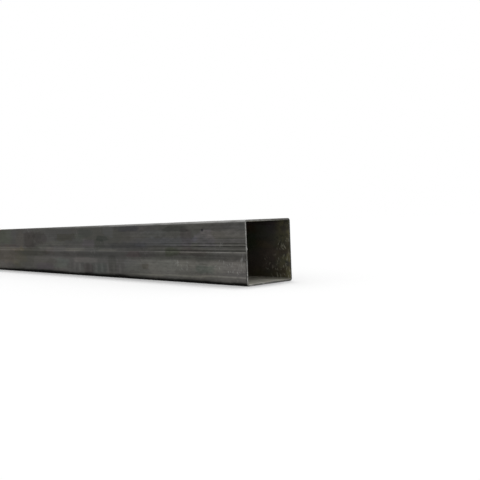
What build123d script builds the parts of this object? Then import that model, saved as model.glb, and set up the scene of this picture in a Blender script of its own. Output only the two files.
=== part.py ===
"""Square steel tube, 50 x 50 x 1.5 mm: a 1 m cut length of roll-formed, seam-welded stock.

The tube is one piece of strip, rolled to a square and welded edge to edge along the middle of
one side. Outside, the weld is shaved flush and leaves a shallow band, with two fine lines from
the squeeze rolls above it. Inside, the weld bead stands as it cooled. Both ends are sawn square
and their outer edges are broken.

Frame: +X along the tube, +Y towards the back, +Z up, in millimetres. The tube lies on one flat
side with its seam facing -Y, and the origin is on the floor under its middle.
"""

from build123d import *
import math
import os

# Driving dimensions
LENGTH = 1000.0  # cut from 6 m mill stock
SIDE = 50.0  # outside, across the flats
WALL = 1.5
CORNER_RADIUS = 1.5 * WALL  # outside of each cold bend
EDGE_BREAK = 0.2  # chamfer round the outside of each sawn end

SEAM_HEIGHT = 27.9  # middle of the weld above the floor
SHAVED_WIDTH = 5.2  # band that the shaving tool leaves
SHAVED_DEPTH = 0.1
SHOULDER_WIDTH = 0.35  # slope at each edge of that band
ROLL_LINE_WIDTH = 1.0
ROLL_LINE_DEPTH = 0.1
ROLL_LINE_OFFSETS = (3.8, 8.1)  # above the middle of the weld

BEAD_WIDTH = 1.8  # weld bead inside, as welded
BEAD_HEIGHT = 0.6

# Worked-out dimensions, in the section's own axes: x along +Y, y along +Z, centred on the tube
BORE_SIDE = SIDE - 2 * WALL
BORE_RADIUS = CORNER_RADIUS - WALL
SEAM_FACE = -SIDE / 2
BORE_FACE = SEAM_FACE + WALL
SEAM_LINE = SEAM_HEIGHT - SIDE / 2

section_plane = Plane(origin=(-LENGTH / 2, 0, SIDE / 2), x_dir=(0, 1, 0), z_dir=(1, 0, 0))

with BuildPart() as square_tube:
    with BuildSketch(section_plane):
        RectangleRounded(SIDE, SIDE, CORNER_RADIUS)
        RectangleRounded(BORE_SIDE, BORE_SIDE, BORE_RADIUS, mode=Mode.SUBTRACT)

        # Weld bead: a low arc standing into the bore, its foot sunk halfway into the wall
        with BuildLine():
            bead_crown = ThreePointArc(
                (BORE_FACE, SEAM_LINE - BEAD_WIDTH / 2),
                (BORE_FACE + BEAD_HEIGHT, SEAM_LINE),
                (BORE_FACE, SEAM_LINE + BEAD_WIDTH / 2),
            )
            Polyline(
                bead_crown @ 1,
                (BORE_FACE - WALL / 2, SEAM_LINE + BEAD_WIDTH / 2),
                (BORE_FACE - WALL / 2, SEAM_LINE - BEAD_WIDTH / 2),
                bead_crown @ 0,
            )
        make_face()

        # Shaved band over the weld, with a sloping shoulder along each edge
        with Locations((SEAM_FACE, SEAM_LINE)):
            Trapezoid(
                SHAVED_WIDTH,
                SHAVED_DEPTH,
                math.degrees(math.atan2(SHAVED_DEPTH, SHOULDER_WIDTH)),
                rotation=-90,
                align=(Align.CENTER, Align.MIN),
                mode=Mode.SUBTRACT,
            )

        # Roll lines: shallow V grooves
        for offset in ROLL_LINE_OFFSETS:
            with Locations((SEAM_FACE, SEAM_LINE + offset)):
                Triangle(
                    a=ROLL_LINE_WIDTH,
                    b=math.hypot(ROLL_LINE_WIDTH / 2, ROLL_LINE_DEPTH),
                    c=math.hypot(ROLL_LINE_WIDTH / 2, ROLL_LINE_DEPTH),
                    rotation=-90,
                    align=(Align.CENTER, Align.MIN),
                    mode=Mode.SUBTRACT,
                )
    extrude(amount=LENGTH)

    sawn_ends = square_tube.faces().filter_by(Axis.X).sort_by(Axis.X)
    for end in (sawn_ends[0], sawn_ends[-1]):
        chamfer(end.outer_wire().edges(), EDGE_BREAK)
square_tube.part.label = "square_tube"

os.makedirs("parts", exist_ok=True)
export_step(square_tube.part, "parts/square_tube.step")
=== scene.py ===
"""A cut length of square steel tube, dressed in mill scale, with a shaved weld seam and sawn ends."""

import logging
import math
from dataclasses import dataclass, field
from enum import Enum

import bmesh
import bpy
from mathutils import Matrix, Vector, noise

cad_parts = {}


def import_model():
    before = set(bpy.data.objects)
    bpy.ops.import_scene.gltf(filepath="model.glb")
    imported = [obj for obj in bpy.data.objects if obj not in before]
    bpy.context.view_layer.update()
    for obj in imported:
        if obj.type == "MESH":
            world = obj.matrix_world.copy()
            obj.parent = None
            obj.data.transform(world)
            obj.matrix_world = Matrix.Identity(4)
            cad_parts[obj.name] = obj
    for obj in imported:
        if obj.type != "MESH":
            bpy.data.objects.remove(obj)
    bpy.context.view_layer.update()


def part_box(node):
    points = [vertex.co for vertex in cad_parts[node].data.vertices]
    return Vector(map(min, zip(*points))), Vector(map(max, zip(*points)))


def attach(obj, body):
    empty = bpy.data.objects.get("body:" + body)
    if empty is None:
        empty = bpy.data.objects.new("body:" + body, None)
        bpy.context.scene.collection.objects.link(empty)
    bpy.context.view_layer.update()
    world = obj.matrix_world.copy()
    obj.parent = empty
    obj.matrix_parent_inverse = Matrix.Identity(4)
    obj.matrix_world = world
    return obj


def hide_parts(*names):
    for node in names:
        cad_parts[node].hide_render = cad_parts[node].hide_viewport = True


log = logging.getLogger("square_tube")

MM = 0.001
TOUCH = 0.01 * MM
MID_HEIGHT = 0.025
SIDES = 4
ROUND = 0.5  # a bevel's profile
WHITE = (1.0, 1.0, 1.0)
ROLLED = (2.5, 1.0, 1.0)  # how far a pattern in the scale is drawn out along each axis
DRIFTED = (4.0, 1.0, 1.0)  # the same for dirt, dust and wear
ROUGH = (3.0, 0.6)  # the detail and roughness of a ragged noise
BAKE_MAP = "OFBake"

Mesh = bmesh.types.BMesh
Node = bpy.types.Node
Socket = bpy.types.NodeSocket
Tree = bpy.types.NodeTree

# Ramp, Band and Grain hold what Graph.ease, Graph.band and Graph.noise take after their first value.
Ramp = tuple[float, ...]
Colour = Point = Band = Grain = tuple[float, float, float]
# A node's inputs by name; for a new group, None makes an input a vector.
Inputs = dict[str, object]


class Surface(Enum):
    """The three finishes of the tube, in the order of its material slots."""

    SCALE = 0
    SAWN = 1
    BORE = 2


def smooth_step(low: float, high: float, value: float) -> float:
    """Ease a value from 0 at low to 1 at high, which may be the smaller one."""
    share = min(max((value - low) / (high - low), 0.0), 1.0)
    return share * share * (3.0 - 2.0 * share)


def drift(along: float, seed: float) -> float:
    """Give smooth noise along a line, from -1 to 1, another for each seed."""
    return noise.noise(Vector((along, seed, 0.0)))


def turn(degrees: float, axis: str) -> Matrix:
    """Give a turn about an axis."""
    return Matrix.Rotation(math.radians(degrees), 4, axis)


def add_object(name: str, data: bpy.types.ID) -> bpy.types.Object:
    """Add an object to the scene.

    Args:
        name: Its name.
        data: Its mesh, lamp or camera.

    Returns:
        The object, at the origin.
    """
    piece = bpy.data.objects.new(name, data)
    bpy.context.scene.collection.objects.link(piece)
    return piece


@dataclass(frozen=True)
class Step:
    """A step in the seam side's profile, in millimetres, from the shaving tool or the edge of a roll.

    Attributes:
        height: Its middle above the floor.
        rise: How much deeper the side lies above it than below it.
        half_width: From its middle to where it ends.
        tone: The painted highlight along it, as a share paler than the side; below 0 it is painted shade.
        far_tone: The same painted light that is left of it away from the mouth.
        fades: Whether its relief is there only near the mouth.
    """

    height: float
    rise: float
    half_width: float
    tone: float
    far_tone: float = 0.0
    fades: bool = False


@dataclass(frozen=True)
class WeldSeam:
    """The weld along the -Y side: shaved to a shallow band outside, a bead as welded inside."""

    middle: float = 27.9 * MM
    bead_half_width: float = 1.1 * MM
    bead_height: float = 0.55 * MM
    bead_ripple: float = 0.3
    ripples_per_metre: float = 60.0
    ripple_seed: float = 1.3
    bead_wander: float = 0.25 * MM
    wanders_per_metre: float = 14.0
    wander_seed: float = 8.1
    zone_below: float = 4.6 * MM
    zone_above: float = 9.4 * MM
    fade_start: float = 465 * MM
    fade_end: float = 340 * MM
    steps: tuple[Step, ...] = (
        Step(25.3, 0.15, 0.40, 1.50, 0.22),
        Step(26.6, -0.06, 0.55, -0.42, -0.05),
        Step(27.8, 0.04, 0.55, 0.24, 0.05),
        Step(30.0, -0.13, 0.45, -0.55, -0.10),
        Step(31.1, 0.10, 0.40, 0.62, fades=True),
        Step(32.3, -0.10, 0.45, -0.32, -0.04, fades=True),
        Step(35.4, 0.05, 0.50, 0.08, fades=True),
        Step(36.6, -0.05, 0.50, -0.10, fades=True),
    )

    def depth(self, x: float, z: float) -> float:
        """Give how far the outside stands back from the true plane.

        Args:
            x: The place along the tube.
            z: The height above the floor.

        Returns:
            The depth in metres, 0 where the rolls left the side alone.
        """
        depth = 0.0
        for step in self.steps:
            share = smooth_step(self.fade_end, self.fade_start, x) if step.fades else 1.0
            middle, reach = step.height * MM, step.half_width * MM
            depth += share * step.rise * MM * smooth_step(middle - reach, middle + reach, z)
        return depth

    def bead(self, x: float, z: float) -> float:
        """Give how high the bead stands in the bore.

        Args:
            x: The place along the tube.
            z: The height above the floor.

        Returns:
            The height in metres, 0 beside the bead.
        """
        ripple = 1.0 + self.bead_ripple * drift(x * self.ripples_per_metre, self.ripple_seed)
        wander = self.bead_wander * drift(x * self.wanders_per_metre, self.wander_seed)
        off = abs(z - self.middle - wander)
        return ripple * self.bead_height * smooth_step(self.bead_half_width, 0.0, off)


@dataclass(frozen=True)
class FlatMap:
    """The tube's faces laid flat in rows on a square, for its finishes to be baked to.

    An outer side takes two rows, one for each half of the length. A side of the bore takes one row,
    most of it for the mouths. A sawn ring takes one, its four sides in line.

    Attributes:
        gap: The space between rows, as a share of the square, like the sizes below.
        outer_row: The height of an outer row.
        bore_row: The height of a bore row.
        ring_row: The height of a ring's row.
        ring_side: The length of a ring's side.
        mouth: How much of the tube's length belongs to each mouth.
        mouth_share: The share of a bore row that each mouth takes.
    """

    gap: float = 0.005
    outer_row: float = 0.083
    bore_row: float = 0.06
    ring_row: float = 0.008
    ring_side: float = 0.2
    mouth: float = 100 * MM
    mouth_share: float = 0.3

    def lay(self, tube: "SquareTube") -> None:
        """Give each corner of each face its place on the square.

        Args:
            tube: The tube, with its finishes and before its relief.
        """
        layer = tube.mesh.loops.layers.uv.new(BAKE_MAP)
        for face in tube.mesh.faces:
            middle = face.calc_center_median()
            for loop in face.loops:
                loop[layer].uv = self.spot(tube, Surface(face.material_index), middle, loop.vert.co)

    def spot(self, tube: "SquareTube", finish: Surface, middle: Vector, place: Vector) -> tuple[float, float]:
        """Give the spot on the square for one corner of a face.

        Args:
            tube: The tube.
            finish: The face's finish.
            middle: The face's middle, which decides its row.
            place: The corner's place.

        Returns:
            The spot, from 0 to 1 each way.
        """
        up, half = middle.z - tube.side / 2, tube.length / 2
        upright, near = abs(middle.y) > abs(up), middle.x > 0.0
        side = 2 * upright + ((middle.y if upright else up) > 0.0)
        across = place.z / tube.side if upright else place.y / tube.side + 0.5
        if finish is Surface.SCALE:
            start = (2 * side + near) * (self.outer_row + self.gap)
            return self.inset(place.x / half + (not near)), self.gap + start + across * self.outer_row
        start = 2 * SIDES * (self.outer_row + self.gap)
        if finish is Surface.BORE:
            start += side * (self.bore_row + self.gap)
            return self.inset(self.along_bore(place.x, half)), self.gap + start + across * self.bore_row
        start += SIDES * (self.bore_row + self.gap) + near * (self.ring_row + self.gap)
        depth = tube.depth_from_outside(Vector((place.y, place.z - tube.side / 2))) / tube.wall
        along = side * (self.ring_side + self.gap) + across * self.ring_side
        return self.gap + along, self.gap + start + depth * self.ring_row

    def along_bore(self, x: float, half: float) -> float:
        """Give how far along its row a place in the bore lies.

        Args:
            x: The place along the tube.
            half: Half the tube's length.

        Returns:
            The share of the row, from 0 to 1.
        """
        inner = half - self.mouth
        share = min(abs(x), inner) / inner * (0.5 - self.mouth_share)
        share += max(abs(x) - inner, 0.0) / self.mouth * self.mouth_share
        return 0.5 + math.copysign(share, x)

    def inset(self, share: float) -> float:
        """Keep a row clear of the square's left and right edges."""
        return self.gap + share * (1.0 - 2.0 * self.gap)


@dataclass
class SquareTube:
    """The tube as one closed mesh, finer than its construction solid and inside its box.

    Attributes:
        low: Lowest corner of the construction solid.
        high: Highest corner of the construction solid.
        flat_middle: The share of a flat, round its middle, that waves in full.
        waves_across: How many waves lie across the tube in the length of one along it.
        saw_reach: How far in from an end the saw's wander moves the wall.
        saw_grain: How fast the saw's wander changes along each axis, in waves to the metre.
    """

    low: Vector
    high: Vector
    mesh: Mesh = field(default_factory=bmesh.new)
    seam: WeldSeam = WeldSeam()
    flat_map: FlatMap = FlatMap()
    wall: float = 1.5 * MM
    corner_radius: float = 2.25 * MM
    corner_segments: int = 8
    edge_break: float = 0.18 * MM
    edge_segments: int = 2
    side_cuts: int = 9
    seam_pitch: float = 0.24 * MM
    length_pitch: float = 5.0 * MM
    rim_cuts: int = 3
    hollow: float = 0.03 * MM
    waviness: float = 0.04 * MM
    wave_length: float = 90 * MM
    waves_across: float = 2.0
    flat_middle: float = 0.75
    saw_wander: float = 0.12 * MM
    saw_reach: float = 1 * MM
    saw_grain: Point = (3.0, 300.0, 300.0)

    @property
    def length(self) -> float:
        """The cut length."""
        return self.high.x - self.low.x

    @property
    def side(self) -> float:
        """The width across the flats."""
        return self.high.y - self.low.y

    def section(self) -> None:
        """Draw the outer outline of the section as a loop of edges at the far end."""
        bmesh.ops.create_grid(self.mesh, x_segments=1, y_segments=1, size=self.side / 2)
        corners = {"offset": self.corner_radius, "segments": self.corner_segments, "affect": "VERTICES"}
        bmesh.ops.bevel(self.mesh, geom=self.mesh.verts[:], profile=ROUND, **corners)
        bmesh.ops.delete(self.mesh, geom=self.mesh.faces[:], context="FACES_ONLY")
        centre = Vector((self.low.x, 0.0, self.side / 2))
        upright = Matrix(((0, 0, 1), (1, 0, 0), (0, 1, 0))).to_4x4()
        bmesh.ops.transform(self.mesh, matrix=Matrix.Translation(centre) @ upright, verts=self.mesh.verts)

    def stations(self) -> None:
        """Cut the straight sides of the outline, most finely across the weld."""
        flats = [e for e in self.mesh.edges if e.calc_length() > self.side / 2]
        seam_flat = min(flats, key=lambda e: sum(v.co.y for v in e.verts))
        flats.remove(seam_flat)
        bmesh.ops.subdivide_edges(self.mesh, edges=flats, cuts=self.side_cuts)
        zone_low = self.seam.middle - self.seam.zone_below
        zone_high = self.seam.middle + self.seam.zone_above
        for height in (zone_low, zone_high):
            on_side = [e for e in self.mesh.edges if self.lies_on_seam_side(e)]
            geom = on_side + list({v for e in on_side for v in e.verts})
            bmesh.ops.bisect_plane(self.mesh, geom=geom, plane_co=(0, 0, height), plane_no=(0, 0, 1))
        for edge in [e for e in self.mesh.edges if self.lies_on_seam_side(e)]:
            middle = (edge.verts[0].co.z + edge.verts[1].co.z) / 2
            in_zone = zone_low < middle < zone_high
            pitch = self.seam_pitch if in_zone else self.side / (self.side_cuts + 1)
            cuts = math.ceil(edge.calc_length() / pitch) - 1
            bmesh.ops.subdivide_edges(self.mesh, edges=[edge], cuts=cuts)

    def lies_on_seam_side(self, edge: bmesh.types.BMEdge) -> bool:
        """Tell whether an edge of the outline lies flat on the -Y side."""
        return all(abs(v.co.y - self.low.y) < TOUCH for v in edge.verts)

    def draw_out(self) -> None:
        """Extrude the outline along the tube, cut the strips into short lengths and give them a wall."""
        drawn = bmesh.ops.extrude_edge_only(self.mesh, edges=self.mesh.edges[:])["geom"]
        moved = [g for g in drawn if isinstance(g, bmesh.types.BMVert)]
        bmesh.ops.translate(self.mesh, verts=moved, vec=(self.length, 0, 0))
        lengthwise = [e for e in self.mesh.edges if e.calc_length() > self.length / 2]
        cuts = round(self.length / self.length_pitch) - 1
        bmesh.ops.subdivide_edges(self.mesh, edges=lengthwise, cuts=cuts, use_grid_fill=True)
        bmesh.ops.recalc_face_normals(self.mesh, faces=self.mesh.faces)
        bmesh.ops.solidify(self.mesh, geom=self.mesh.faces[:], thickness=self.wall)

    def is_sawn(self, face: bmesh.types.BMFace) -> bool:
        """Tell whether a face lies in one of the sawn ends."""
        return all(min(v.co.x - self.low.x, self.high.x - v.co.x) < TOUCH for v in face.verts)

    def is_outside(self, place: Vector) -> bool:
        """Tell whether a place lies nearer the outside of the wall than the bore."""
        middle = Vector((place.y, place.z - self.side / 2))
        return self.depth_from_outside(middle) < self.wall / 2

    def depth_from_outside(self, middle: Vector) -> float:
        """Give how deep a point of the section lies under the outside.

        Args:
            middle: The point, from the section's centre.

        Returns:
            The distance to the outline, rounded corners counted.
        """
        reach = self.side / 2 - self.corner_radius
        beyond = Vector((max(abs(middle.x) - reach, 0.0), max(abs(middle.y) - reach, 0.0)))
        if beyond.x > 0.0 and beyond.y > 0.0:
            return self.corner_radius - beyond.length
        return self.side / 2 - max(abs(middle.x), abs(middle.y))

    def finish_ends(self) -> None:
        """Cut the sawn rings across the wall and break their sharp edges."""
        sharp = [e for e in self.mesh.edges if len({self.is_sawn(f) for f in e.link_faces}) == 2]
        edges = {"offset": self.edge_break, "segments": self.edge_segments, "affect": "EDGES"}
        bmesh.ops.bevel(self.mesh, geom=sharp, profile=ROUND, **edges)
        across = [
            e
            for e in self.mesh.edges
            if self.wall / 2 < e.calc_length() < self.wall and all(self.is_sawn(f) for f in e.link_faces)
        ]
        bmesh.ops.subdivide_edges(self.mesh, edges=across, cuts=self.rim_cuts, use_grid_fill=True)

    def assign_finishes(self) -> None:
        """Give each face the slot of its finish, by where it lies."""
        for face in self.mesh.faces:
            if self.is_sawn(face):
                finish = Surface.SAWN
            else:
                outside = self.is_outside(face.calc_center_median())
                finish = Surface.SCALE if outside else Surface.BORE
            face.material_index = finish.value
            face.smooth = True

    def relieve(self) -> None:
        """Move the vertices from true planes to what rolling, welding and sawing leave."""
        flat_reach = self.side / 2 - self.corner_radius
        for vert in self.mesh.verts:
            place = vert.co.copy()
            x, y, z = place
            up = z - self.side / 2
            faces_y = abs(y) > abs(up)
            along, sign = (up, math.copysign(1.0, y)) if faces_y else (y, math.copysign(1.0, up))
            flatness = smooth_step(flat_reach, flat_reach * self.flat_middle, abs(along))
            inward = self.hollow * max(1.0 - (along / flat_reach) ** 2, 0.0)
            wave = noise.noise(Vector((x, y * self.waves_across, z * self.waves_across)) / self.wave_length)
            inward += self.waviness * flatness * (1.0 + wave)
            if faces_y and sign < 0:
                inward += (self.seam.depth if self.is_outside(place) else self.seam.bead)(x, z)
            if faces_y:
                vert.co.y -= sign * inward
            else:
                vert.co.z -= sign * inward
            if abs(x) > self.length / 2 - self.saw_reach:
                wander = noise.noise(place * Vector(self.saw_grain))
                vert.co.x -= math.copysign(self.saw_wander * (0.5 + wander / 2), x)

    def build(self) -> bpy.types.Object:
        """Build the whole mesh.

        Returns:
            The object, at the origin, its faces holding the indices of three materials still to add.
        """
        self.section()
        self.stations()
        self.draw_out()
        self.finish_ends()
        self.mesh.normal_update()
        self.assign_finishes()
        self.flat_map.lay(self)
        self.relieve()
        data = bpy.data.meshes.new("dressed_tube")
        self.mesh.to_mesh(data)
        self.mesh.free()
        return add_object("dressed_tube", data)


class Graph:
    """Adds nodes to one node tree and joins them."""

    def __init__(self, tree: Tree) -> None:
        """Keep the tree."""
        self.tree = tree

    def add(self, kind: str, *values: object, **settings: object) -> Node:
        """Add a node.

        Args:
            kind: The node's type, without the leading ShaderNode.
            *values: What its first inputs are fed, in order.
            **settings: Properties of the node by name.

        Returns:
            The new node.
        """
        node = self.tree.nodes.new("ShaderNode" + kind)
        for name, value in settings.items():
            setattr(node, name, value)
        for socket, value in zip(node.inputs, values):
            self.feed(socket, value)
        return node

    def feed(self, socket: Socket, value: object) -> None:
        """Link a socket, or set it.

        Args:
            socket: The node's input.
            value: The socket to link it to, or a plain value; a colour is three numbers.
        """
        if isinstance(value, Socket):
            self.tree.links.new(value, socket)
        else:
            socket.default_value = (*value, 1.0) if socket.type == "RGBA" else value

    def wire(self, node: Node, inputs: Inputs) -> None:
        """Feed a node's inputs by name."""
        for name, value in inputs.items():
            self.feed(node.inputs[name], value)

    def split(self, vector: Socket) -> list[Socket]:
        """Return the X, Y and Z of a vector."""
        return list(self.add("SeparateXYZ", vector).outputs)

    def vector(self, operation: str, *values: object) -> Socket:
        """Return the result of a Vector Math node."""
        return self.add("VectorMath", *values, operation=operation).outputs[0]

    def math(self, operation: str, *values: object) -> Socket:
        """Return the result of a Math node."""
        return self.add("Math", *values, operation=operation).outputs[0]

    def plus(self, first: object, second: object) -> Socket:
        """Add two values."""
        return self.math("ADD", first, second)

    def times(self, first: object, second: object) -> Socket:
        """Multiply two values."""
        return self.math("MULTIPLY", first, second)

    def scaled(self, value: object, factor: object, offset: object) -> Socket:
        """Multiply a value by a factor and add an offset."""
        return self.math("MULTIPLY_ADD", value, factor, offset)

    def ease(self, value: object, low: float, high: float, start: float = 0.0, end: float = 1.0) -> Socket:
        """Map a value smoothly from low..high, where high may be the smaller one, to start..end."""
        return self.add("MapRange", value, low, high, start, end, interpolation_type="SMOOTHSTEP").outputs[0]

    def band(self, value: Socket, low: float, high: float, soft: float) -> Socket:
        """Mask a value between low and high, rising and falling over a soft width round each."""
        rise = self.ease(value, low - soft / 2, low + soft / 2)
        return self.times(rise, self.ease(value, high + soft / 2, high - soft / 2))

    def noise(self, vector: Socket, size: object, detail: float = 2.0, roughness: float = 0.5) -> Socket:
        """Return noise with features of a size in metres, its detail in octaves, about 0.5 on average."""
        return self.add("TexNoise", vector, 0.0, self.math("DIVIDE", 1.0, size), detail, roughness).outputs[0]

    def stretch(self, vector: Socket, factors: Point, lean: float = 0.0) -> Socket:
        """Draw a pattern out along each axis by a factor, leaning by degrees about Y and about Z."""
        turned = (0.0, math.radians(lean), math.radians(lean))
        return self.add("Mapping", vector, (0.0,) * 3, turned, factors, vector_type="TEXTURE").outputs[0]

    def shade(self, colour: Socket, factor: Socket) -> Socket:
        """Multiply a colour by a value."""
        unused = (0.0,) * 3
        return self.vector("SCALE", colour, unused, unused, factor)

    def mix(self, share: object, first: object, second: object, blend: str = "MIX") -> Socket:
        """Mix two colours.

        Args:
            share: The share of the second colour.
            first: The first colour.
            second: The second colour.
            blend: The way of mixing.

        Returns:
            The mixed colour.
        """
        node = self.add("Mix", data_type="RGBA", blend_type=blend)
        sockets = {s.identifier: s for s in (*node.inputs, *node.outputs)}
        for name, value in (("Factor_Float", share), ("A_Color", first), ("B_Color", second)):
            self.feed(sockets[name], value)
        return sockets["Result_Color"]


class Effect(Graph):
    """A shared look built once as a node group, with named inputs and outputs."""

    def __init__(self, name: str, inputs: Inputs, *outputs: str, kind: str = "Float") -> None:
        """Make the group and its sockets.

        Args:
            name: The group's name.
            inputs: The name and default value of each input after Vector; None makes it a vector.
            *outputs: The names of its outputs.
            kind: What its outputs are, Float or Color.
        """
        super().__init__(bpy.data.node_groups.new(name, "ShaderNodeTree"))
        for title, value in {"Vector": None, **inputs}.items():
            given = "NodeSocketVector" if value is None else "NodeSocketFloat"
            socket = self.tree.interface.new_socket(name=title, in_out="INPUT", socket_type=given)
            if value is not None:
                socket.default_value = value
        for title in outputs:
            self.tree.interface.new_socket(name=title, in_out="OUTPUT", socket_type="NodeSocket" + kind)
        self.given = self.tree.nodes.new("NodeGroupInput").outputs
        self.result = self.tree.nodes.new("NodeGroupOutput").inputs


def mottle_effect() -> Tree:
    """Build cloudy tones in three sizes with some crisp patches, as oxide and oil dry on rolled strip.

    Returns:
        The group's tree.
    """
    medium_size, fine_size = 0.3, 0.06  # as shares of the broad clouds' size
    broad_depth, medium_depth, patch_depth, fine_depth = 0.7, 0.5, 0.16, 0.45
    crisp, gathered = (0.50, 0.54), (0.46, 0.58)  # levels of noise, from none to full
    effect = Effect("mottle", {"Size": 0.03, "Contrast": 1.0, "Grain": 1.0}, "Tone", "Patch")
    size, along = effect.given["Size"], effect.stretch(effect.given["Vector"], ROLLED)
    broad = effect.noise(along, size)
    medium = effect.noise(along, effect.times(size, medium_size), detail=3.0, roughness=0.55)
    fine = effect.noise(along, effect.times(size, fine_size), *ROUGH)
    patch = effect.times(effect.ease(medium, *crisp), effect.ease(broad, *gathered))
    tone = effect.scaled(broad, broad_depth, -broad_depth / 2)
    tone = effect.scaled(medium, medium_depth, effect.plus(tone, -medium_depth / 2))
    tone = effect.scaled(patch, patch_depth, effect.plus(tone, -patch_depth / 2))
    grain = effect.times(effect.scaled(fine, fine_depth, -fine_depth / 2), effect.given["Grain"])
    tone = effect.scaled(tone, effect.given["Contrast"], effect.plus(grain, 1.0))
    effect.feed(effect.result["Tone"], tone)
    effect.feed(effect.result["Patch"], patch)
    return effect.tree


def cast_effect() -> Tree:
    """Build a tint round white that wanders from warm to green and to neutral, with fairly crisp edges.

    Returns:
        The group's tree.
    """
    crisp = (0.38, 0.62)  # levels of noise, from one tint to the other
    effect = Effect("cast", {"Size": 0.03, "Strength": 0.3}, "Tint", kind="Color")
    along = effect.stretch(effect.given["Vector"], ROLLED)
    joined = effect.add("CombineColor")
    joined.inputs["Green"].default_value = 1.0
    for channel, offset, lean in (("Red", 0.0, 0.5), ("Blue", 7.0, 0.8)):
        moved = effect.vector("ADD", along, (offset,) * 3)
        level = effect.ease(effect.noise(moved, effect.given["Size"]), *crisp, -lean, lean)
        effect.feed(joined.inputs[channel], effect.scaled(level, effect.given["Strength"], 1.0))
    effect.feed(effect.result["Tint"], joined.outputs[0])
    return effect.tree


def streak_effect() -> Tree:
    """Build fine lines along the tube, as rolls draw them.

    Returns:
        The group's tree.
    """
    effect = Effect("roll streaks", {"Pitch": 0.002, "Length": 0.2}, "Mask")
    joined = effect.add("CombineXYZ")
    parts = effect.split(effect.given["Vector"])
    for socket, part, size in zip(joined.inputs, parts, ("Length", "Pitch", "Pitch")):
        effect.feed(socket, effect.math("DIVIDE", part, effect.given[size]))
    lines = effect.noise(joined.outputs[0], 1.0, detail=3.0, roughness=0.65)
    effect.feed(effect.result["Mask"], lines)
    return effect.tree


def scuff_effect() -> Tree:
    """Build short pale strokes, leaning both ways, that gather in places, from handling and stacking.

    Returns:
        The group's tree.
    """
    crowd_size, turn_size = 30 * MM, 8 * MM
    crowded, turning, struck = (0.58, 0.66), (0.44, 0.56), (0.60, 0.73)  # levels, from none to full
    effect = Effect("scuffs", {"Size": 0.0016, "Gather": 0.0}, "Mask")
    vector = effect.given["Vector"]
    crowd = effect.plus(effect.noise(vector, crowd_size), effect.given["Gather"])
    turned = effect.ease(effect.noise(vector, turn_size), *turning)
    straight = effect.math("SUBTRACT", 1.0, turned)
    strokes = 0.0
    for lean, length, share in ((24.0, 4.0, turned), (-34.0, 3.0, straight), (-8.0, 3.0, 1.0)):
        leaning = effect.stretch(vector, (1.0, length, length), lean)
        stroke = effect.ease(effect.noise(leaning, effect.given["Size"], roughness=0.4), *struck)
        strokes = effect.math("MAXIMUM", strokes, effect.times(stroke, share))
    effect.feed(effect.result["Mask"], effect.times(strokes, effect.ease(crowd, *crowded)))
    return effect.tree


def stain_effect() -> Tree:
    """Build one patch with a ragged edge and something of a square shape, round a place.

    Returns:
        The group's tree.
    """
    tatter, average = 6 * MM, 0.5  # the size and the average of the noise along the edge
    inputs = {"Middle": None, "Reach": None, "Ragged": 0.5, "Soft": 0.2}
    effect = Effect("stain", inputs, "Mask")
    given = effect.given
    off = effect.vector("SUBTRACT", given["Vector"], given["Middle"])
    off = effect.vector("DIVIDE", off, given["Reach"])
    squared = effect.vector("MULTIPLY", off, off)
    length = effect.add("VectorMath", squared, operation="LENGTH")
    far = effect.math("SQRT", length.outputs["Value"])
    edge = effect.noise(effect.stretch(given["Vector"], ROLLED), tatter, *ROUGH)
    edge = effect.math("SUBTRACT", edge, average)
    far = effect.scaled(edge, given["Ragged"], far)
    inner = effect.math("SUBTRACT", 1.0, given["Soft"])
    effect.feed(effect.result["Mask"], effect.ease(far, effect.plus(1.0, given["Soft"]), inner))
    return effect.tree


@dataclass
class Effects:
    """The shared node groups."""

    mottle: Tree
    cast: Tree
    streaks: Tree
    scuffs: Tree
    stain: Tree


@dataclass(frozen=True)
class Stain:
    """A patch of its own tint on the seam side, in millimetres.

    Attributes:
        x: Its middle along the tube.
        z: Its middle above the floor.
        long: Half its length.
        high: Half its height.
        tint: What it multiplies the colour under it by, in hundredths.
        ragged: How far its edge strays, as a share of its reach.
        soft: How wide its edge is, as a share of its reach.
        y: Where the face that it lies on is.
        deep: How far off that face it dies out.
    """

    x: float
    z: float
    long: float
    high: float
    tint: Colour = (100, 100, 100)
    ragged: float = 2.0
    soft: float = 0.2
    y: float = -25.0
    deep: float = 6.0

    def inputs(self) -> Inputs:
        """Return what the stain effect is fed, in metres."""
        middle, reach = Vector((self.x, self.y, self.z)), Vector((self.long, self.deep, self.high))
        return {"Middle": middle * MM, "Reach": reach * MM, "Ragged": self.ragged, "Soft": self.soft}


@dataclass(frozen=True)
class BoreStain(Stain):
    """A stain on the bore's side across from the seam."""

    y: float = 23.5
    deep: float = 3.0


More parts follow.
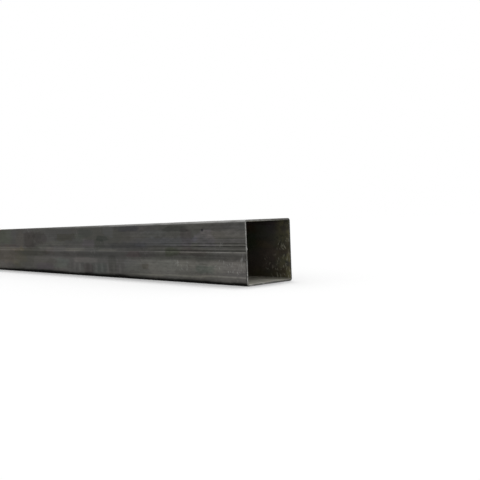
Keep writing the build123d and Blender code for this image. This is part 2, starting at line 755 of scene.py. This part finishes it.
SEAM_SIDE_STAINS = (
    Stain(80, 41, 17, 8, (106, 113, 101), soft=0.4),
    Stain(96, 44, 15, 5, (112, 111, 115), soft=0.4),
    Stain(91, 30.5, 18, 1.2, (92, 84, 88)),
    Stain(92, 19, 34, 9, (112, 106, 98), soft=0.4),
    Stain(68, 7.5, 26, 6, (130, 127, 128), soft=0.5),
    Stain(122, 15, 18, 10, (98, 101, 93), soft=0.4),
    Stain(118, 36, 10, 10, (111, 109, 105)),
    Stain(112, 27, 16, 2.6, (113, 110, 109)),
    Stain(143, 36.8, 13, 9.5, (72, 69, 70), 0.7),
    Stain(171, 38.5, 15, 6.5, (79, 76, 77), 1.1),
    Stain(180, 30, 14, 4, (110, 113, 108)),
    Stain(149, 23.2, 40, 4.4, (80, 81, 77), soft=0.3),
    Stain(191, 25, 9, 4, (116, 111, 111)),
    Stain(208, 33, 19, 2.2, (116, 117, 112)),
    Stain(228, 38.8, 18, 3.5, (84, 83, 76)),
    Stain(257, 38, 9, 4, (108, 112, 108)),
    Stain(268, 43, 13, 4, (87, 91, 91)),
    Stain(262, 30.5, 24, 2.2, (113, 112, 110)),
    Stain(274, 33, 12, 3.6, (112, 107, 117)),
    Stain(294, 31.5, 9, 5.5, (84, 86, 84)),
    Stain(300, 37.5, 11, 2.6, (74, 78, 77)),
    Stain(311, 43.5, 9, 5, (112, 114, 120)),
    Stain(341, 46, 17, 2.6, (78, 80, 86)),
    Stain(371, 41, 26, 2.6, (115, 117, 119)),
    Stain(345, 30.1, 35, 2.6, (80, 81, 84), soft=0.3),
    Stain(400, 33.8, 44, 3.6, (108, 110, 120), soft=0.3),
    Stain(416, 44.8, 16, 2.4, (72, 74, 74)),
    Stain(430, 37, 7, 8, (97, 91, 95)),
    Stain(452, 36, 12, 7, (114, 112, 122)),
    Stain(478, 39.6, 29, 3, (134, 131, 128), soft=0.3),
    Stain(484, 34.3, 24, 1.4, (124, 122, 126), 0.5),
    Stain(450.6, 43.1, 1.4, 1.1, (42, 42, 46), 0.5),
    Stain(246, 26.3, 20, 1.7, (118, 118, 112), 0.5),
    Stain(308, 26.2, 18, 1.3, (120, 120, 115), 0.5),
    Stain(352, 23, 10, 2.6, (100, 90, 93)),
    Stain(374, 23.2, 13, 2.6, (86, 84, 86)),
    Stain(411, 25.2, 9, 3.4, (72, 77, 67)),
    Stain(438, 25, 20, 2.9, (84, 80, 81)),
    Stain(484, 24, 20, 1.4, (114, 114, 115), 0.5),
    Stain(176, 7.5, 20, 4, (101, 96, 106), soft=0.4),
    Stain(217, 12, 14, 5, (108, 118, 114), soft=0.3),
    Stain(266, 16, 22, 2.8, (126, 123, 122), 0.8),
    Stain(272, 7, 9, 5.5, (80, 75, 76), 0.5),
    Stain(296, 7, 12, 5, (94, 100, 98), soft=0.4),
    Stain(316, 13, 7, 8, (82, 83, 81), 0.5),
    Stain(350, 13, 11, 6, (115, 118, 118)),
    Stain(370, 11.5, 5, 2.4, (82, 79, 76)),
    Stain(393, 14.5, 25, 6, (115, 116, 116)),
    Stain(429, 17, 12, 4, (116, 114, 113)),
    Stain(452, 11, 10, 3.5, (84, 91, 89)),
    Stain(478, 14.7, 26, 5.4, (126, 125, 123)),
    Stain(374, 4.9, 28, 0.6, (128, 128, 124), 0.5),
    Stain(424, 5.6, 30, 0.7, (136, 136, 132), 0.5),
    Stain(476, 6.4, 30, 0.8, (146, 146, 142), 0.5),
)
BORE_STAINS = (
    BoreStain(487, 43, 12, 5, (116, 106, 128), 0.8, 0.4),
    # painted shade: a dark band under the top of the bore, near the mouth
    BoreStain(474, 46.6, 24, 1.6, (90, 76, 84)),
    BoreStain(455, 42, 8, 3.5, (100, 88, 76), soft=0.4),
    BoreStain(456, 34, 6, 5, (82, 98, 86), soft=0.4),
    BoreStain(459, 24, 8, 5, (94, 103, 106), soft=0.4),
    BoreStain(496, 35, 4, 5, (120, 118, 108)),
)


class Paint(Graph):
    """What the finishes share: a material with one Principled shader and a colour that builds up."""

    name: str
    colour: object
    relief: float

    def __init__(self, effects: Effects) -> None:
        """Make the material.

        Args:
            effects: The shared node groups.
        """
        self.material = bpy.data.materials.new(self.name)
        self.material.use_nodes = True
        super().__init__(self.material.node_tree)
        self.tree.nodes.clear()
        self.effects = effects
        self.shader = self.add("BsdfPrincipled")
        self.feed(self.add("OutputMaterial").inputs["Surface"], self.shader.outputs[0])
        self.place = self.add("TexCoord").outputs["Object"]
        self.x, self.y, self.z = self.split(self.place)

    def effect(self, tree: Tree, **values: object) -> bpy.types.bpy_prop_collection:
        """Place a shared node group on the object's coordinates.

        Args:
            tree: The group's own tree.
            **values: Its other inputs by name.

        Returns:
            The group's outputs.
        """
        node = self.add("Group", node_tree=tree)
        self.wire(node, {"Vector": self.place, **values})
        return node.outputs

    def drifts(self, size: float) -> Socket:
        """Return rough noise of a size in metres, drawn out along the tube."""
        return self.noise(self.stretch(self.place, DRIFTED), size, *ROUGH)

    def cover(self, share: object, colour: object, blend: str = "MIX") -> None:
        """Mix a colour over the one so far."""
        self.colour = self.mix(share, self.colour, colour, blend)

    def cast(self, tone: Socket, **values: object) -> None:
        """Give the colour its cast, whose inputs are given by name, and its tone."""
        self.cover(1.0, self.effect(self.effects.cast, **values)["Tint"], "MULTIPLY")
        self.colour = self.shade(self.colour, tone)

    def mask(self, stain: Stain) -> Socket:
        """Return 1 on a stain and 0 off it."""
        return self.effect(self.effects.stain, **stain.inputs())["Mask"]

    def lay(self, stains: tuple[Stain, ...]) -> None:
        """Lay stains on the colour."""
        for stain in stains:
            self.cover(self.mask(stain), tuple(part / 100 for part in stain.tint), "MULTIPLY")

    def finish(self, inputs: Inputs, height: Socket) -> None:
        """Feed the shader.

        Args:
            inputs: Its inputs by name, but for the base colour.
            height: The height of its relief, from 0 to 1.
        """
        bump = self.add("Bump")
        self.wire(bump, {"Distance": self.relief, "Height": height})
        self.wire(self.shader, {**inputs, "Base Color": self.colour, "Normal": bump.outputs[0]})


class MillScale(Paint):
    """Dark oxide of rolled strip, mottled, with brown, green and blue casts.

    Of the pairs, contrast and cast_strength go from off the seam side to on it, grain and
    streak_strength from mid length to an end, and roughness from between the patches to on them.
    """

    name = "mill scale"
    seam: WeldSeam = WeldSeam()
    colour: Colour = (0.0880, 0.0856, 0.0797)
    side: Ramp = (-0.0215, -0.0235)
    end: Ramp = (0.25, 0.48)
    mottle_size: float = 0.036
    contrast: Ramp = (0.85, 0.30)
    grain: Ramp = (0.6, 1.7)
    cast_size: float = 0.03
    cast_strength: Ramp = (0.06, 0.035)
    streaks: Inputs = {"Pitch": 0.0014, "Length": 0.15}
    streaked: Ramp = (0.3, 0.7, -0.5, 0.5)
    streak_strength: Ramp = (0.11, 0.22)
    streak_relief: float = 0.5
    relief: float = 0.05 * MM
    roughness: Ramp = (0.56, 0.44)
    metallic: float = 0.4
    looks: Inputs = {"Specular IOR Level": 0.0, "Specular Tint": (0.6, 0.6, 0.6)}

    # painted light: the seam side's lower half paler, more so towards +X
    low: Ramp = (0.0192, 0.0170)
    lit_below_far: Ramp = (0.10, 0.24, 0.03, 0.26)
    lit_below_near: Ramp = (0.34, 0.40, 0.0, 0.30)
    under_weld: Band = (0.0196, 0.0237, 0.0007)
    under_tone: float = -0.08
    deeper: Band = (0.176, 0.324, 0.012)
    deeper_tone: float = -0.12
    on_weld: Band = (0.0246, 0.0284, 0.0008)
    on_weld_tone: Ramp = (0.37, 0.26, 0.0, 0.26)
    # the painted highlights and shade along the steps
    step_light_stretch: Point = (16.0, 1.0, 1.0)
    step_light_grain: float = 0.0012
    step_light_strength: Ramp = (0.35, 0.65, 0.7, 1.3)
    step_light_spread: float = 1.5
    barred_length: Band = (0.236, 0.335, 0.01)
    barred_height: Band = (0.0045, 0.013, 0.004)
    first_bar: float = 244.5 * MM
    bar_pitch: float = 10.6 * MM
    bar_tone: Ramp = (-0.2, 0.7, -0.1, 0.16)

    # painted highlight on the upper corners, in part pale wear; the same pale colour marks the scuffs
    pale_wear_and_highlight: Colour = (0.40, 0.40, 0.39)
    painted_light_corner: Ramp = (0.0229, 0.0241)
    highlight_share: Ramp = (0.08, 0.5, 0.0, 0.95)
    highlight_grain: float = 0.006
    highlight_uneven: Ramp = (0.35, 0.6, 0.5, 1.0)
    scuff_size: float = 0.0014
    scuff_share: Ramp = (0.36, 0.47, 0.12, 0.34)
    knocked_share: float = 0.22
    knocks: tuple[Stain, ...] = (Stain(482, 13.5, 15, 5.5, ragged=0.8), Stain(421, 14, 9, 4, ragged=0.8))

    # painted contact shade in the lower corners and behind the burr, with thin dirt underneath
    grime_and_shade: Colour = (0.009, 0.009, 0.008)
    soil_and_shade_grain: float = 0.006
    soil_and_shade_ragged: float = 0.003
    shade_higher: tuple[Band, ...] = ((0.11, 0.22, 0.03), (0.265, 0.345, 0.03))
    shade_lift: float = 0.0009
    soil_and_shade_height: Ramp = (0.0056, 0.0028)
    soil_and_shade_across: Ramp = (0.0205, 0.0230, 0.3, 0.95)
    # painted shadow behind the sawn ends' burr, on the lower half
    burr_shadow_end: Ramp = (0.4991, 0.4996)
    burr_shadow_height: Ramp = (0.026, 0.020)
    burr_shadow_share: float = 0.7

    def make(self) -> None:
        """Build up the colour and finish the material."""
        self.from_middle = self.math("ABSOLUTE", self.x)
        side, near = self.ease(self.y, *self.side), self.ease(self.from_middle, *self.end)
        contrast, grain = self.ease(side, 0.0, 1.0, *self.contrast), self.ease(near, 0.0, 1.0, *self.grain)
        mottle = self.effect(self.effects.mottle, Size=self.mottle_size, Contrast=contrast, Grain=grain)
        streaks = self.effect(self.effects.streaks, **self.streaks)["Mask"]
        drawn = self.ease(near, 0.0, 1.0, *self.streak_strength)
        tone = self.times(mottle["Tone"], self.scaled(self.ease(streaks, *self.streaked), drawn, 1.0))
        tone = self.times(tone, self.scaled(self.side_tone_and_light(), side, 1.0))
        self.cast(tone, Size=self.cast_size, Strength=self.ease(side, 0.0, 1.0, *self.cast_strength))
        self.lay(SEAM_SIDE_STAINS)
        self.rub_and_highlight()
        soil_and_shade = self.soil_and_shade()
        self.cover(soil_and_shade, self.grime_and_shade)
        metallic = self.scaled(soil_and_shade, -self.metallic, self.metallic)
        roughness = self.ease(mottle["Patch"], 0.0, 1.0, *self.roughness)
        height = self.scaled(streaks, self.streak_relief, mottle["Tone"])
        self.finish({**self.looks, "Metallic": metallic, "Roughness": roughness}, height)

    def side_tone_and_light(self) -> Socket:
        """Tone the seam side: painted light on its lower half, a darker band under the weld, a paler one on
        it, the chatter bars, and painted highlights and shade along the steps.

        Returns:
            How much paler it gets, as a share; below 0 it is darker.
        """
        # painted light on the lower half of the seam side
        lit_below = self.plus(self.ease(self.x, *self.lit_below_far), self.ease(self.x, *self.lit_below_near))
        low = self.times(self.ease(self.z, *self.low), lit_below)
        darker = self.scaled(self.band(self.x, *self.deeper), self.deeper_tone, self.under_tone)
        under = self.times(self.band(self.z, *self.under_weld), darker)
        over = self.times(self.band(self.z, *self.on_weld), self.ease(self.x, *self.on_weld_tone))
        total = self.plus(self.plus(self.plus(low, under), over), self.bars())
        lines = self.noise(self.stretch(self.place, self.step_light_stretch), self.step_light_grain)
        uneven = self.ease(lines, *self.step_light_strength)
        near = self.ease(self.x, self.seam.fade_end, self.seam.fade_start)
        # painted highlights and shade along the steps, strongest near the mouth
        for step in self.seam.steps:
            off = self.math("ABSOLUTE", self.math("SUBTRACT", self.z, step.height * MM))
            step_light = self.times(self.ease(off, step.half_width * MM * self.step_light_spread, 0.0), uneven)
            strength = self.scaled(near, step.tone - step.far_tone, step.far_tone)
            total = self.scaled(step_light, strength, total)
        return total

    def bars(self) -> Socket:
        """Tone the short stretch where a roll chattered.

        Returns:
            How much paler it gets, as a share.
        """
        past = self.math("SUBTRACT", self.x, self.first_bar)
        wave = self.math("COSINE", self.times(past, math.tau / self.bar_pitch))
        barred = self.times(self.band(self.x, *self.barred_length), self.band(self.z, *self.barred_height))
        return self.times(barred, self.ease(wave, *self.bar_tone))

    def rub_and_highlight(self) -> None:
        """Paint a highlight, in part pale wear, on the upper corners, brightest towards +X, and add scuffs,
        most of them near the ends.
        """
        up = self.math("SUBTRACT", self.z, MID_HEIGHT)
        least = self.math("MINIMUM", self.math("ABSOLUTE", self.y), up)
        uneven = self.ease(self.drifts(self.highlight_grain), *self.highlight_uneven)
        share = self.times(self.ease(self.x, *self.highlight_share), uneven)
        # painted highlight on the upper corners, with some pale wear, growing towards +X
        self.cover(self.times(self.ease(least, *self.painted_light_corner), share), self.pale_wear_and_highlight)
        knocked = self.plus(*(self.mask(knock) for knock in self.knocks))
        scuffs = self.effect(self.effects.scuffs, Size=self.scuff_size, Gather=knocked)["Mask"]
        share = self.scaled(knocked, self.knocked_share, self.ease(self.from_middle, *self.scuff_share))
        self.cover(self.times(scuffs, share), self.pale_wear_and_highlight)

    def soil_and_shade(self) -> Socket:
        """Mask painted contact shade, thick in the lower corners and higher in two stretches, thin dirt
        underneath, and a painted shadow behind the ends' burr.

        Returns:
            The share of painted shade and dirt.
        """
        height = self.scaled(self.drifts(self.soil_and_shade_grain), self.soil_and_shade_ragged, self.z)
        # painted shade reaching higher in two stretches along the tube
        for stretch in self.shade_higher:
            height = self.scaled(self.band(self.x, *stretch), -self.shade_lift, height)
        # painted contact shade in the lower corners, thin dirt on the underside
        thick = self.ease(self.math("ABSOLUTE", self.y), *self.soil_and_shade_across)
        low = self.times(self.ease(height, *self.soil_and_shade_height), thick)
        # painted shadow behind the ends' burr
        end = self.ease(self.from_middle, *self.burr_shadow_end)
        burr_shadow = self.times(end, self.ease(self.z, *self.burr_shadow_height))
        return self.math("MAXIMUM", low, self.times(burr_shadow, self.burr_shadow_share))


class SawnSteel(Paint):
    """Bare steel of the sawn ends, scored across by the blade, brightest on the seam side."""

    name = "sawn steel"
    colour: Colour = (0.10, 0.097, 0.088)
    bright: Colour = (0.31, 0.307, 0.294)
    # the sawn ends grow darker towards +Y, darkest on the far side
    darker_tone: Colour = (0.028, 0.027, 0.022)
    mottle: Inputs = {"Size": 0.01, "Contrast": 2.0, "Grain": 2.0}
    mottled: Ramp = (0.4, 1.2)
    score_stretch: Point = (1.0, 8.0, 1.0)
    score_grain: Grain = (0.0004, 2.0, 0.6)
    scored: Ramp = (0.3, 0.55)
    darker_across: Ramp = (-0.022, 0.024, 0.0, 0.6)
    far_side: Ramp = (0.0222, 0.0236)
    relief: float = 0.05 * MM
    looks: Inputs = {"Metallic": 0.6, "Roughness": 0.5}

    def make(self) -> None:
        """Build up the colour and finish the material."""
        mottle = self.effect(self.effects.mottle, **self.mottle)["Tone"]
        scores = self.noise(self.stretch(self.place, self.score_stretch), *self.score_grain)
        self.cover(self.times(self.ease(mottle, *self.mottled), self.ease(scores, *self.scored)), self.bright)
        darkening = self.math("MAXIMUM", self.ease(self.y, *self.darker_across), self.ease(self.y, *self.far_side))
        self.cover(darkening, self.darker_tone)
        self.finish(self.looks, scores)


class BoreScale(Paint):
    """Darker scale inside, with an olive bloom at the mouths, painted shade in the corners, pale nicks and
    dust along the floor.
    """

    name = "bore scale"
    colour: Colour = (0.073, 0.065, 0.046)
    mottle: Inputs = {"Size": 0.025, "Contrast": 0.8, "Grain": 0.8}
    tint: Inputs = {"Size": 0.016, "Strength": 0.2}
    paler_below: Ramp = (0.008, 0.038, 1.16, 0.92)
    relief: float = 0.1 * MM
    looks: Inputs = {
        "Metallic": 0.1,
        "Roughness": 0.6,
        "Specular IOR Level": 0.2,
        "Sheen Weight": 0.25,
        "Sheen Roughness": 0.4,
        "Sheen Tint": (1.0, 0.97, 0.86),
    }

    olive: Colour = (0.142, 0.130, 0.071)
    bloom_grain: Grain = (0.007, 3.0, 0.6)
    bloom_patches: Ramp = (0.40, 0.60)
    bloom_end: Ramp = (0.480, 0.498)
    # painted shade in the bore's corners
    painted_light_corner: Ramp = (0.0215, 0.0228)
    corner_shade_tone: float = -0.45

    nick: Colour = (0.40, 0.39, 0.31)
    nick_size: float = 0.0014
    nick_share: float = 0.7
    nicks_end: Ramp = (0.472, 0.489, 0.0, 0.26)
    nicks_height: Ramp = (0.042, 0.032)
    knock: Stain = BoreStain(475, 15, 5, 6)
    knocked: float = 0.2

    dust: Colour = (0.35, 0.336, 0.275)
    dust_height: Ramp = (0.0030, 0.0017)
    drift_size: float = 0.012
    dust_drifts: Ramp = (0.35, 0.6, 0.78, 1.0)
    dust_grain: Grain = (0.0013, 2.0, 0.6)
    dust_grains: Ramp = (0.3, 0.7, 0.88, 1.0)
    fresh_dust: Colour = (0.64, 0.625, 0.555)
    fresh_end: Ramp = (0.465, 0.486)
    fresh_across: Ramp = (0.021, 0.009)

    def make(self) -> None:
        """Build up the colour and finish the material."""
        self.from_middle = self.math("ABSOLUTE", self.x)
        mottle = self.effect(self.effects.mottle, **self.mottle)["Tone"]
        self.cast(self.times(mottle, self.ease(self.z, *self.paler_below)), **self.tint)
        self.lay(BORE_STAINS)
        self.bloom_and_corner_shade()
        self.nicks()
        self.settle()
        self.finish(self.looks, mottle)

    def bloom_and_corner_shade(self) -> None:
        """Add the olive bloom, and darken the corners with painted shade."""
        patches = self.ease(self.noise(self.place, *self.bloom_grain), *self.bloom_patches)
        self.cover(self.times(self.ease(self.from_middle, *self.bloom_end), patches), self.olive)
        # painted shade in the corners of the bore
        up = self.math("ABSOLUTE", self.math("SUBTRACT", self.z, MID_HEIGHT))
        least = self.math("MINIMUM", self.math("ABSOLUTE", self.y), up)
        painted_light_corner = self.scaled(self.ease(least, *self.painted_light_corner), self.corner_shade_tone, 1.0)
        self.colour = self.shade(self.colour, painted_light_corner)

    def nicks(self) -> None:
        """Add nicks near the mouths and in the knocked place."""
        near = self.times(self.ease(self.from_middle, *self.nicks_end), self.ease(self.z, *self.nicks_height))
        gather = self.scaled(self.mask(self.knock), self.knocked, near)
        nicks = self.effect(self.effects.scuffs, Size=self.nick_size, Gather=gather)["Mask"]
        self.cover(self.times(nicks, self.nick_share), self.nick)

    def settle(self) -> None:
        """Add dust on the floor, palest in the mouths."""
        fresh = self.ease(self.from_middle, *self.fresh_end)
        fresh = self.times(fresh, self.ease(self.y, *self.fresh_across))
        drifts = self.ease(self.drifts(self.drift_size), *self.dust_drifts)
        grains = self.ease(self.noise(self.place, *self.dust_grain), *self.dust_grains)
        share = self.times(self.times(drifts, grains), self.ease(self.z, *self.dust_height))
        self.cover(share, self.mix(fresh, self.dust, self.fresh_dust))


@dataclass(frozen=True)
class Studio:
    """A white floor, a white surround and one soft lamp high behind the far end."""

    floor_half: float = 6.0
    floor_tone: float = 0.8
    floor_lift: float = 0.2
    surround: float = 0.6
    sun_strength: float = 1.4
    sun_spread: float = 22.0
    sun_height: float = 70.0
    sun_heading: float = 215.0
    sun_place: Point = (0.0, -1.0, 2.0)

    def shown(self, graph: Graph) -> Socket:
        """Mask the rays that carry the plain white background: seen, mirrored or seen through.

        Args:
            graph: The graph of the floor or the surround.

        Returns:
            1 for those rays and 0 for the others.
        """
        path = graph.add("LightPath")
        seen = graph.math("MAXIMUM", path.outputs["Is Camera Ray"], path.outputs["Is Glossy Ray"])
        return graph.math("MAXIMUM", seen, path.outputs["Is Transmission Ray"])

    def lay_floor(self) -> None:
        """Lay the floor under the tube."""
        mesh = bmesh.new()
        bmesh.ops.create_grid(mesh, x_segments=1, y_segments=1, size=self.floor_half)
        data = bpy.data.meshes.new("floor")
        mesh.to_mesh(data)
        mesh.free()
        floor = add_object("floor", data)
        material = bpy.data.materials.new("floor")
        material.use_nodes = True
        graph = Graph(material.node_tree)
        looks = {
            "Base Color": (self.floor_tone,) * 3,
            "Roughness": 1.0,
            "Specular IOR Level": 0.0,
            "Emission Color": WHITE,
            "Emission Strength": graph.times(self.shown(graph), self.floor_lift),
        }
        graph.wire(material.node_tree.nodes["Principled BSDF"], looks)
        data.materials.append(material)

    def light_surround(self) -> None:
        """Light the scene from all round, and show plain white behind it."""
        world = bpy.data.worlds.new("surround")
        bpy.context.scene.world = world
        world.use_nodes = True
        world.node_tree.nodes.clear()
        graph = Graph(world.node_tree)
        background = graph.add("Background")
        strength = graph.ease(self.shown(graph), 0.0, 1.0, self.surround, 1.0)
        graph.wire(background, {"Color": WHITE, "Strength": strength})
        graph.feed(graph.add("OutputWorld").inputs["Surface"], background.outputs[0])

    def hang_lamp(self) -> None:
        """Hang the soft lamp, far off so that it lights the whole floor alike."""
        data = bpy.data.lights.new("key", "SUN")
        data.energy = self.sun_strength
        data.angle = math.radians(self.sun_spread)
        turned = turn(self.sun_heading, "Z") @ turn(90.0 - self.sun_height, "X")
        add_object("key", data).matrix_world = Matrix.Translation(self.sun_place) @ turned


@dataclass(frozen=True)
class View:
    """The camera: near the mouth on the seam side, level with the top of the tube."""

    place: Point = (0.84593, -0.35712, 0.04997)
    yaw: float = 46.638
    pitch: float = -1.781
    roll: float = -2.291
    lens: float = 48.45
    clip_start: float = 0.01

    def aim(self) -> None:
        """Create the camera and make it the scene's own."""
        data = bpy.data.cameras.new("view")
        data.lens = self.lens
        data.clip_start = self.clip_start
        camera = add_object("view", data)
        turned = turn(self.yaw, "Z") @ turn(90.0 + self.pitch, "X") @ turn(self.roll, "Z")
        camera.matrix_world = Matrix.Translation(self.place) @ turned
        bpy.context.scene.camera = camera


def main() -> None:
    """Load the frame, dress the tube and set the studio."""
    logging.basicConfig(level=logging.INFO, format="%(name)s: %(message)s")
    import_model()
    View().aim()
    studio = Studio()
    studio.lay_floor()
    studio.light_surround()
    studio.hang_lamp()

    piece = SquareTube(*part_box("square_tube")).build()
    log.info("%s: %d vertices, %d faces", piece.name, len(piece.data.vertices), len(piece.data.polygons))
    effects = Effects(mottle_effect(), cast_effect(), streak_effect(), scuff_effect(), stain_effect())
    for finish in (MillScale(effects), SawnSteel(effects), BoreScale(effects)):
        finish.make()
        piece.data.materials.append(finish.material)
    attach(piece, "root")
    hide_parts("square_tube")
    bpy.context.scene.view_settings.view_transform = "Standard"


if __name__ == "__main__":
    main()
